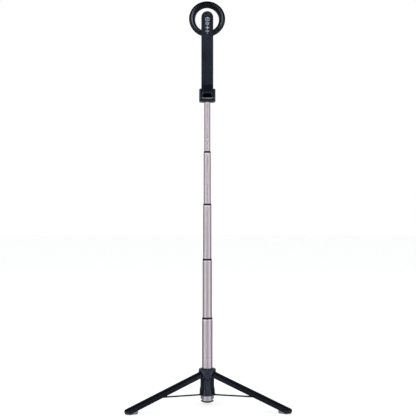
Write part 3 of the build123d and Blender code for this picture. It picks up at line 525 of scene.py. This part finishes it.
PAD_RIDGES = 6
PAD_BORDER = 0.9 * MM
PAD_GROOVE = 0.32 * MM
PAD_WALLS = (0.18, 0.42, 0.60)
PAD_CHAMFER = 0.15 * MM
pad = NODES["ring_pad"].data
pad_centre = middle("ring_pad")
pad_axis = max(pad.polygons, key=lambda face: face.area).normal.copy()
if pad_axis.y < 0:
    pad_axis.negate()
offsets = [vert.co - pad_centre for vert in pad.vertices]
depths = [offset.dot(pad_axis) for offset in offsets]
radii = [(offset - pad_axis * depth).length for offset, depth in zip(offsets, depths)]
front, back, inner, outer = min(depths), max(depths), min(radii), max(radii)
pitch = (outer - inner - 2 * PAD_BORDER) / PAD_RIDGES
section = [
    (outer, front),
    (inner, front),
    (inner, back - PAD_CHAMFER),
    (inner + PAD_CHAMFER, back),
    *grooves(inner + PAD_BORDER, pitch, PAD_RIDGES, back, back - PAD_GROOVE, PAD_WALLS),
    (outer - PAD_CHAMFER, back),
    (outer, back - PAD_CHAMFER),
]
grown(
    "ridged_ring_pad", revolved("ridged_ring_pad", pad_centre, pad_axis, section),
    SILICONE, "ring", "pad_silicone", "ring_pad",
)


# ---- the rubber wedge under each leg's tip, with grooves across its sole -----------------------
# Its section is in millimetres: the distance from the pole's axis and the height.

SOLE_GROOVES = 6
GROOVE_DEPTH = 0.7
GROOVE_WALLS = (0.12, 0.38, 0.50)
SOLE_ROUND = 1.8  # the length of the sole's rise at each end
TIP_HEIGHT = 1.17  # the underside of the leg's trimmed tip
TIP_LENGTH = 2.92
SIDE_ROUND = 0.35  # how far the pad's sides draw in
low, high = corners("foot_pad_rear")
sole_inner, sole_outer = (low.y - POLE_Y) / MM, (high.y - POLE_Y) / MM
sole_half_width = (high.x - low.x) / 2 / MM
sole_start, sole_end = sole_inner + SOLE_ROUND, sole_outer - SOLE_ROUND
pitch = (sole_end - sole_start) / (SOLE_GROOVES + 0.5)
sole = [
    (sole_inner + 0.03, high.z / MM - 0.03),
    (sole_inner + 0.8, 1.0),
    (sole_inner + 1.1, 0.3),
    (sole_start, 0.0),
    *grooves(sole_start + 0.5 * pitch, pitch, SOLE_GROOVES, 0.0, GROOVE_DEPTH, GROOVE_WALLS),
    (sole_end, 0.0),
    (sole_outer - 0.05, TIP_HEIGHT),
    (sole_outer - TIP_LENGTH, TIP_HEIGHT),
]
sole_middle = Vector((sum(x for x, _ in sole), sum(z for _, z in sole))) / len(sole)


def drawn_in(value, towards, reach, amount):
    """A value moved towards another by an amount, or by less when it is within reach of it."""
    return value + amount * max(-1.0, min(1.0, (towards - value) / reach))


for place in ("left", "right", "rear"):
    tip = middle(f"foot_pad_{place}")
    turn = math.atan2(tip.y - POLE_Y, tip.x - POLE_X)
    out = Vector((math.cos(turn), math.sin(turn), 0))
    across = Vector((-out.y, out.x, 0))
    rings = []
    for share, inset in ((-1.0, SIDE_ROUND), (-0.93, 0.0), (0.93, 0.0), (1.0, SIDE_ROUND)):
        ring = []
        for x, z in sole:
            side = out * drawn_in(x, sole_middle.x, 4, inset) + across * share * sole_half_width
            height = z
            if z == 0.0 or z > GROOVE_DEPTH:
                height = drawn_in(z, sole_middle.y, 2, inset)
            ring.append(Vector((POLE_X, POLE_Y, height * MM)) + side * MM)
        rings.append(ring)
    shape = bmesh.new()
    made = bands(shape, rings)
    shape.faces.new(made[0])
    shape.faces.new(list(reversed(made[-1])))
    bmesh.ops.triangulate(shape, faces=[face for face in shape.faces if len(face.verts) > 4])
    name = f"grooved_foot_pad_{place}"
    grown(
        name, finished(shape, name, smooth=False),
        FOOT, f"leg_{place}", "foot_rubber", f"foot_pad_{place}",
    )


# ---- broken edges of the legs, the silver ring and the cap -------------------------------------

BROKEN_EDGES = {
    "leg_left": 0.5 * MM,
    "leg_right": 0.5 * MM,
    "leg_rear": 0.5 * MM,
    "base_ring": 0.25 * MM,
    "end_cap": 0.25 * MM,
}
for node, width in BROKEN_EDGES.items():
    bevel = NODES[node].modifiers.new("broken_edges", "BEVEL")
    bevel.width = width
    bevel.segments = 3
    bevel.limit_method = "ANGLE"
    bevel.angle_limit = math.radians(40)
    bevel.harden_normals = True


# ---- pictograms on the shutter key, and a black sheet of painted shade in the arm's window -----
# Outlines are in millimetres, x to the right and y upwards.

def circle(x, y, radius, count=28):
    angles = [math.tau * step / count for step in range(count)]
    return [(x + radius * math.cos(angle), y + radius * math.sin(angle)) for angle in angles]


def rounded(x, y, half_width, half_height, corner, steps=4):
    """A rectangle with round corners."""
    points = []
    for quarter, (side_x, side_y) in enumerate(((1, 1), (-1, 1), (-1, -1), (1, -1))):
        for step in range(steps + 1):
            angle = math.pi / 2 * (quarter + step / steps)
            points.append((
                x + side_x * (half_width - corner) + corner * math.cos(angle),
                y + side_y * (half_height - corner) + corner * math.sin(angle),
            ))
    return points


def plus(x, y, arm, half_width):
    points = []
    for quarter in range(4):
        turn = math.pi / 2 * quarter
        for along, across in ((half_width, -half_width), (arm, -half_width), (arm, half_width)):
            points.append((
                x + along * math.cos(turn) - across * math.sin(turn),
                y + along * math.sin(turn) + across * math.cos(turn),
            ))
    return points


def grown_outwards(outline, amount):
    """A closed outline with each point moved away from its middle, square to the line."""
    centre = Vector((sum(x for x, _ in outline), sum(y for _, y in outline))) / len(outline)
    points = []
    for index, (x, y) in enumerate(outline):
        before, after = outline[index - 1], outline[(index + 1) % len(outline)]
        normal = Vector((after[1] - before[1], before[0] - after[0])).normalized()
        if normal.dot(Vector((x, y)) - centre) < 0:
            normal.negate()
        points.append((x + normal.x * amount, y + normal.y * amount))
    return points


def printed(outline, front, height, line=None, lift=0.04 * MM):
    """A thin layer on a face that looks to the front.

    It is the filled outline, or a closed line along it of a given width.
    """
    def place(points, depth):
        return [Vector((POLE_X + x * MM, front - depth, height + y * MM)) for x, y in points]

    if line is None:
        return loft([place(outline, 0.0), place(outline, lift)], "print")
    corners_of_line = ((0.5, 0.0), (0.5, lift), (-0.5, lift), (-0.5, 0.0))
    shape = bmesh.new()
    bands(
        shape,
        [place(grown_outwards(outline, share * line), depth) for share, depth in corners_of_line],
        back_to_first=True,
    )
    return finished(shape, "print", smooth=False)


# Each outline, and the width of its line where it isn't filled.
PICTOGRAMS = (
    (rounded(0, 9.9, 2.8, 2.1, 0.7), 1.1),  # camera: its body,
    (circle(0, 9.9, 0.85), None),  # its lens
    (rounded(0, 12.95, 1.2, 0.42, 0.2), None),  # and its finder
    (circle(0, 3.2, 2.35), 1.3),  # shutter ring
    (circle(0, 3.2, 0.75), None),
    (plus(0, -3.7, 2.8, 0.85), None),
    (rounded(0, -9.3, 2.8, 0.85, 0.4), None),  # minus
    (circle(0, -12.5, 0.85), None),  # and a dot
)
key_front = corners("shutter_button")[0].y
key_height = middle("shutter_button").z
prints = [printed(outline, key_front, key_height, line) for outline, line in PICTOGRAMS]
grown("key_pictograms", joined(prints, "key_pictograms"), INK, "button", "key_rubber")

# A matt black sheet on the window's back wall: painted shade that darkens the window.
SHADE_SHEET_BACK = 3.7 * MM  # the window's back wall, behind the axle's middle
SHADE_SHEET_THICKNESS = 0.4 * MM
axle = middle("hinge_axle")
shade_sheet = printed(
    rounded(0, 4.1, 6.4, 2.5, 0.6), axle.y + SHADE_SHEET_BACK, axle.z, lift=SHADE_SHEET_THICKNESS,
)
grown("window_shade_sheet", shade_sheet, SHADE_SHEET_PAINT, "arm", "pad_silicone")


# ---- what the surfaces mirror ------------------------------------------------------------------
# It goes by the bearing from the front, where 1 is straight behind: a bright wall, a tall lamp on
# each side, dark flags beside the object and dim blue behind it.

MIRROR_PEAK = 2.2
MIRROR = (
    (0.00, (0.54, 0.54, 0.54)),
    (0.07, (0.58, 0.58, 0.58)),
    (0.16, (0.76, 0.76, 0.76)),
    (0.28, (0.80, 0.80, 0.81)),
    (0.295, (1.9, 1.9, 1.95)),
    (0.335, (1.9, 1.9, 1.95)),
    (0.35, (0.82, 0.83, 0.85)),
    (0.41, (0.74, 0.75, 0.77)),
    (0.50, (0.42, 0.43, 0.46)),
    (0.62, (0.26, 0.27, 0.30)),
    (0.85, (0.28, 0.30, 0.34)),
    (1.00, (0.50, 0.54, 0.62)),
)
WHITE = (1.0, 1.0, 1.0, 1.0)


def mirrored(tree, sideways, forwards):
    """The mirrored colour over its peak, by how far a point is to either side and forwards."""
    half_turns = add_maths(tree, "DIVIDE", add_maths(tree, "ARCTAN2", sideways, forwards), math.pi)
    ramp = add_node(tree, "ValToRGB", {"Fac": half_turns})
    stops = ramp.color_ramp.elements
    for index, (at, colour) in enumerate(MIRROR):
        stop = stops[index] if index < 2 else stops.new(at)  # a new ramp has two stops
        stop.position = at
        stop.color = (*scaled(colour, 1 / MIRROR_PEAK), 1.0)
    return ramp.outputs[0]


# ---- floor -------------------------------------------------------------------------------------

FLOOR_HALF = 9  # metres
FLOOR_BURN = 0.72  # glow that takes the floor to white in the picture
FLOOR_MIRROR = 0.8  # how bright the floor is in the object's gloss, against the walls


def floor_paint():
    """A pale matt floor that burns out to white in the picture but lights the object like paper.

    In the object's gloss it goes on from the walls, dark beside the object and bright in front.
    """
    shader = Shader("floor_white")
    rays = shader.node("LightPath").outputs
    shader.set(
        Base_Color=shader.blend(shader.noise(3.0), (0.86, 0.86, 0.86), (0.88, 0.88, 0.88)),
        Roughness=0.9,
        Specular_IOR_Level=0.1,
        Emission_Color=WHITE[:3],
        Emission_Strength=shader.ramp(rays["Is Camera Ray"], 0.0, 1.0, 0.0, FLOOR_BURN),
    )
    split = shader.node("SeparateXYZ", {0: shader.place}).outputs
    sideways = shader.maths("ABSOLUTE", split["X"], 0.0)
    forwards = shader.maths("SUBTRACT", POLE_Y, split["Y"])
    glow = shader.node("Emission", {
        "Color": mirrored(shader.tree, sideways, forwards),
        "Strength": FLOOR_MIRROR * MIRROR_PEAK,
    })
    mix = shader.node("MixShader", {
        0: rays["Is Glossy Ray"], 1: shader.principled.outputs[0], 2: glow.outputs[0],
    })
    shader.tree.links.new(mix.outputs[0], shader.output.inputs[0])
    return shader.material


floor_corners = [
    (x * FLOOR_HALF, y * FLOOR_HALF, 0) for x, y in ((-1, -1), (1, -1), (1, 1), (-1, 1))
]
floor_mesh = bpy.data.meshes.new("floor")
floor_mesh.from_pydata(floor_corners, [], [(0, 1, 2, 3)])
floor = bpy.data.objects.new("floor", floor_mesh)
bpy.context.collection.objects.link(floor)
floor_mesh.materials.append(floor_paint())


# ---- lamps -------------------------------------------------------------------------------------

LAMP_AIM = Vector((0.0, POLE_Y, 0.33))
# Azimuth (0 on the camera's side, 90 beside the object), elevation, distance, width, height, and
# the share of its side's power.
LAMPS = {
    "key": (57, 3, 2.2, 0.18, 1.9, 1.0),
    "high": (46, 42, 2.2, 0.20, 1.0, 0.55),
    "back": (128, 20, 2.6, 0.35, 1.8, 0.7),
}


def softbox(name, azimuth, elevation, distance, width, height, power):
    """A large soft light that neither the camera nor the object's gloss sees."""
    lamp = bpy.data.lights.new(name, "AREA")
    lamp.shape = "RECTANGLE"
    lamp.size, lamp.size_y, lamp.energy = width, height, power
    holder = bpy.data.objects.new(name, lamp)
    turn, rise = math.radians(azimuth), math.radians(elevation)
    away = Vector((
        math.sin(turn) * math.cos(rise), -math.cos(turn) * math.cos(rise), math.sin(rise),
    ))
    holder.location = LAMP_AIM + away * distance
    holder.rotation_euler = away.to_track_quat("Z", "Y").to_euler()
    holder.visible_camera = False
    holder.visible_glossy = False
    bpy.context.collection.objects.link(holder)


for hand, side_name, power in ((-1, "left", 5.2), (1, "right", 3.6)):
    for lamp_name, (azimuth, *shape_and_place, share) in LAMPS.items():
        softbox(f"{lamp_name}_{side_name}", hand * azimuth, *shape_and_place, share * power)


# ---- world: white to the camera, the mirror to gloss, and dim grey light on the object ---------

AIR_COLOUR = (0.96, 0.98, 1.0, 1.0)
AIR_HORIZON, AIR_ZENITH = 0.40, 0.30
MIRROR_ZENITH = 0.2 * MIRROR_PEAK
world = bpy.data.worlds.new("studio")
bpy.context.scene.world = world
world.use_nodes = True
air = world.node_tree
air.nodes.clear()


def background(colour, strength):
    return add_node(air, "Background", {"Color": colour, "Strength": strength}).outputs[0]


def mixed(factor, first, second):
    return add_node(air, "MixShader", {0: factor, 1: first, 2: second}).outputs[0]


looking = add_node(air, "TexCoord").outputs["Generated"]
direction = add_node(air, "SeparateXYZ", {0: looking}).outputs
sideways = add_maths(air, "ABSOLUTE", direction["X"])
forwards = add_maths(air, "MULTIPLY", direction["Y"], -1.0)


def falling(horizon, zenith):
    """A strength that falls from the horizon to the zenith."""
    return add_ramp(air, direction["Z"], 0.04, 0.46, horizon, zenith)


def cosine(degrees):
    return math.cos(math.radians(degrees))


# Two curved tubes of light over the camera, which draw the sheen down both sides of the ring's
# crest. They are a hollow cone about the direction that the crest mirrors, without its middle.
CREST_RISE = math.radians(24)
CREST_TUBE = 13.0
crest_direction = (0, -math.cos(CREST_RISE), math.sin(CREST_RISE))
crest = add_node(
    air, "VectorMath", {0: looking, 1: crest_direction}, operation="DOT_PRODUCT",
).outputs["Value"]
tubes = CREST_TUBE
for edge in (
    add_ramp(air, crest, cosine(18), cosine(14), 0.0, 1.0),
    add_ramp(air, crest, cosine(5), cosine(2), 1.0, 0.0),
    add_ramp(air, sideways, 0.11, 0.17, 0.0, 1.0),
    add_ramp(air, direction["Z"], 0.29, 0.38, 0.0, 1.0),
):
    tubes = add_maths(air, "MULTIPLY", tubes, edge)

mirror = add_node(air, "AddShader", {
    0: background(mirrored(air, sideways, forwards), falling(MIRROR_PEAK, MIRROR_ZENITH)),
    1: background(AIR_COLOUR, tubes),
}).outputs[0]
rays = add_node(air, "LightPath").outputs
room = mixed(
    rays["Is Glossy Ray"], background(AIR_COLOUR, falling(AIR_HORIZON, AIR_ZENITH)), mirror,
)
whole = mixed(rays["Is Camera Ray"], room, background(WHITE, 1.0))
add_node(air, "OutputWorld", {0: whole})


# ---- camera ------------------------------------------------------------------------------------

CAMERA_DISTANCE = 1.5
CAMERA_TURN = math.radians(1.4)  # how far the camera stands to the left of straight in front
CAMERA_HEIGHT = 0.322
CAMERA_SHIFT = 0.0012  # to the right, to frame the object as in the photograph
lens = bpy.data.cameras.new("camera")
lens.lens, lens.sensor_width = 79.2, 36.0
lens.clip_start, lens.clip_end = 0.05, 60.0
camera = bpy.data.objects.new("camera", lens)
camera.location = (
    CAMERA_SHIFT - CAMERA_DISTANCE * math.sin(CAMERA_TURN),
    POLE_Y - CAMERA_DISTANCE * math.cos(CAMERA_TURN),
    CAMERA_HEIGHT,
)
camera.rotation_euler = (math.radians(90), 0, -CAMERA_TURN)
bpy.context.collection.objects.link(camera)
scene = bpy.context.scene
scene.camera = camera
scene.view_settings.view_transform = "Standard"
